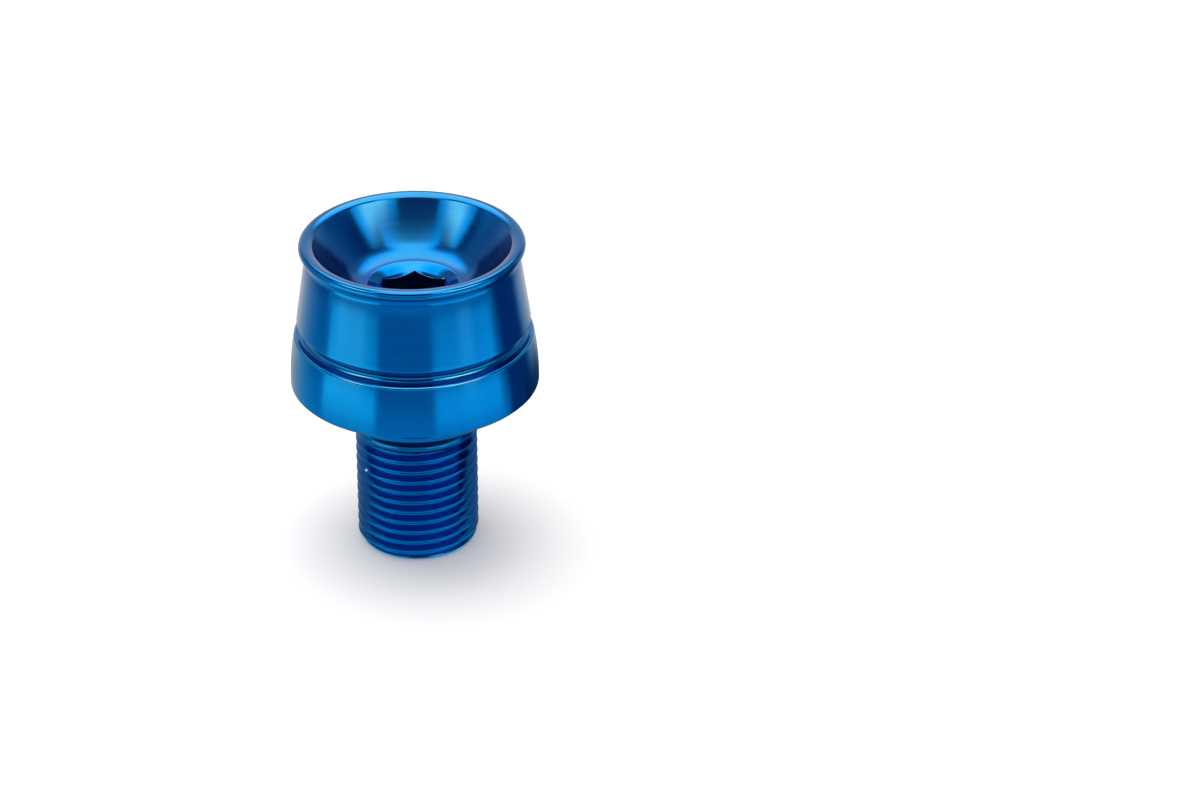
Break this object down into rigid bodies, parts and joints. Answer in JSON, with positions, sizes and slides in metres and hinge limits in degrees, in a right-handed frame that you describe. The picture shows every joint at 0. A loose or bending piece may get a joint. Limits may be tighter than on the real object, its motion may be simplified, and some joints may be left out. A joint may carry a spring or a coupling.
{
  "type": "bar end weight",
  "caption": "Turned bar end weight for a motorbike handlebar: threaded stud, seat collar and round head with a groove, a rolled lip and a dished face round a hexagon socket.",
  "frame": {"origin": "centre of the flat end face of the threaded stud, on the axis; the part stands on this face", "axes": "+Z along the axis from the stud's end to the dished face; one corner of the hexagon socket points to +Y"},
  "size_m": [0.0322, 0.0322, 0.0432],
  "materials": {
    "anodised_blue": "bright blue anodised aluminium with fine turning marks"
  },
  "bodies": {
    "root": {"bar_end_weight": "anodised_blue"}
  },
  "joints": []
}
